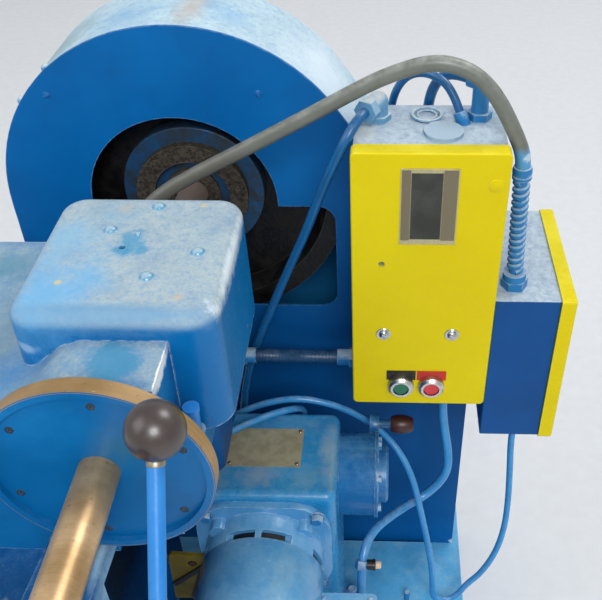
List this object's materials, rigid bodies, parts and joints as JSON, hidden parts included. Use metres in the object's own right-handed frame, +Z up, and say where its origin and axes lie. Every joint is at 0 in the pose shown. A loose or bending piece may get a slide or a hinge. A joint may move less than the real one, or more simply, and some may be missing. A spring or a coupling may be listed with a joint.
{
  "type": "drive end of a four-slide wire forming machine",
  "caption": "Drive end of a wire forming machine: bed corner with gear cover, shaft with disc and flywheel, wheel guard, geared motor, starter box with buttons, and a lever.",
  "frame": {"origin": "on the floor, straight below the main shaft, in the plane of the wheel guard's front face", "axes": "+Z up; -Y towards the operator along the main shaft; +X to the operator's right, towards the side box"},
  "size_m": [0.8252, 0.951, 1.1309],
  "materials": {
    "sky_paint": "glossy worn enamel",
    "guard_blue": "satin enamel",
    "pale_blue": "worn satin enamel",
    "dark_blue": "satin enamel",
    "yellow_paint": "semi-gloss enamel",
    "polished_steel": "polished, oily",
    "black_iron": "dark and greasy",
    "rusty_iron": "rusted",
    "chrome": "polished",
    "green_plastic": "glossy",
    "red_plastic": "glossy",
    "dark_knob": "worn gloss",
    "brass_plate": "tarnished",
    "window_metal": "satin",
    "grey_jacket": "matt",
    "belt_rubber": "matt"
  },
  "bodies": {
    "machine": {"base_plate": "sky_paint", "base_rails": "guard_blue", "base_crossbars": "guard_blue", "bed_leg": "guard_blue", "bed_casting": "sky_paint", "corner_bracket": "sky_paint", "oil_plug": "sky_paint", "gear_cover": "sky_paint", "front_bracket": "sky_paint", "lever_pin": "polished_steel", "guard_front": "guard_blue", "guard_wrapper": "pale_blue", "belt": "belt_rubber", "drive_pulley": "black_iron", "reducer_case": "sky_paint", "reducer_plate": "brass_plate", "end_bell": "sky_paint", "end_cap": "sky_paint", "speed_knob": "dark_knob", "motor_flange": "sky_paint", "motor_drum": "sky_paint", "motor_cowl": "sky_paint", "terminal_box": "sky_paint", "yellow_bracket": "yellow_paint", "starter_box": "pale_blue", "starter_cover": "yellow_paint", "window_plate": "window_metal", "button_rings": "chrome", "legend_plates": "red_plastic", "side_box": "dark_blue", "side_lid": "yellow_paint", "relief_nut": "dark_blue", "relief_spring": "polished_steel", "cable_glands": "sky_paint", "left_connector": "sky_paint", "right_elbow": "sky_paint", "grey_cable": "grey_jacket", "blue_cable": "guard_blue", "corrugated_conduit": "guard_blue", "long_cable": "sky_paint", "second_cable": "sky_paint", "motor_conduit": "sky_paint", "fat_jumper": "guard_blue", "thin_jumper": "guard_blue"},
    "shaft": {"drive_shaft": "polished_steel", "front_disc": "sky_paint", "flywheel": "black_iron", "clutch_hub": "guard_blue", "hub_ring": "rusty_iron"},
    "lever": {"lever_arm": "sky_paint", "lever_knob": "dark_knob"},
    "start": {"start_button": "green_plastic"},
    "stop": {"stop_button": "red_plastic"}
  },
  "joints": [
    {"name": "shaft_spin", "type": "hinge", "parent": "machine", "child": "shaft", "pos_m": [0, 0, 0.893], "axis": [0, 1, 0], "continuous": true},
    {"name": "lever_swing", "type": "hinge", "parent": "machine", "child": "lever", "pos_m": [0.095, -0.706, 0.79], "axis": [1, 0, 0], "range_deg": [0, 25]},
    {"name": "start_press", "type": "slide", "parent": "machine", "child": "start", "axis": [0, 1, 0], "range_m": [0, 0.003], "stiffness_N_per_m": 600},
    {"name": "stop_press", "type": "slide", "parent": "machine", "child": "stop", "axis": [0, 1, 0], "range_m": [0, 0.003], "stiffness_N_per_m": 600}
  ]
}
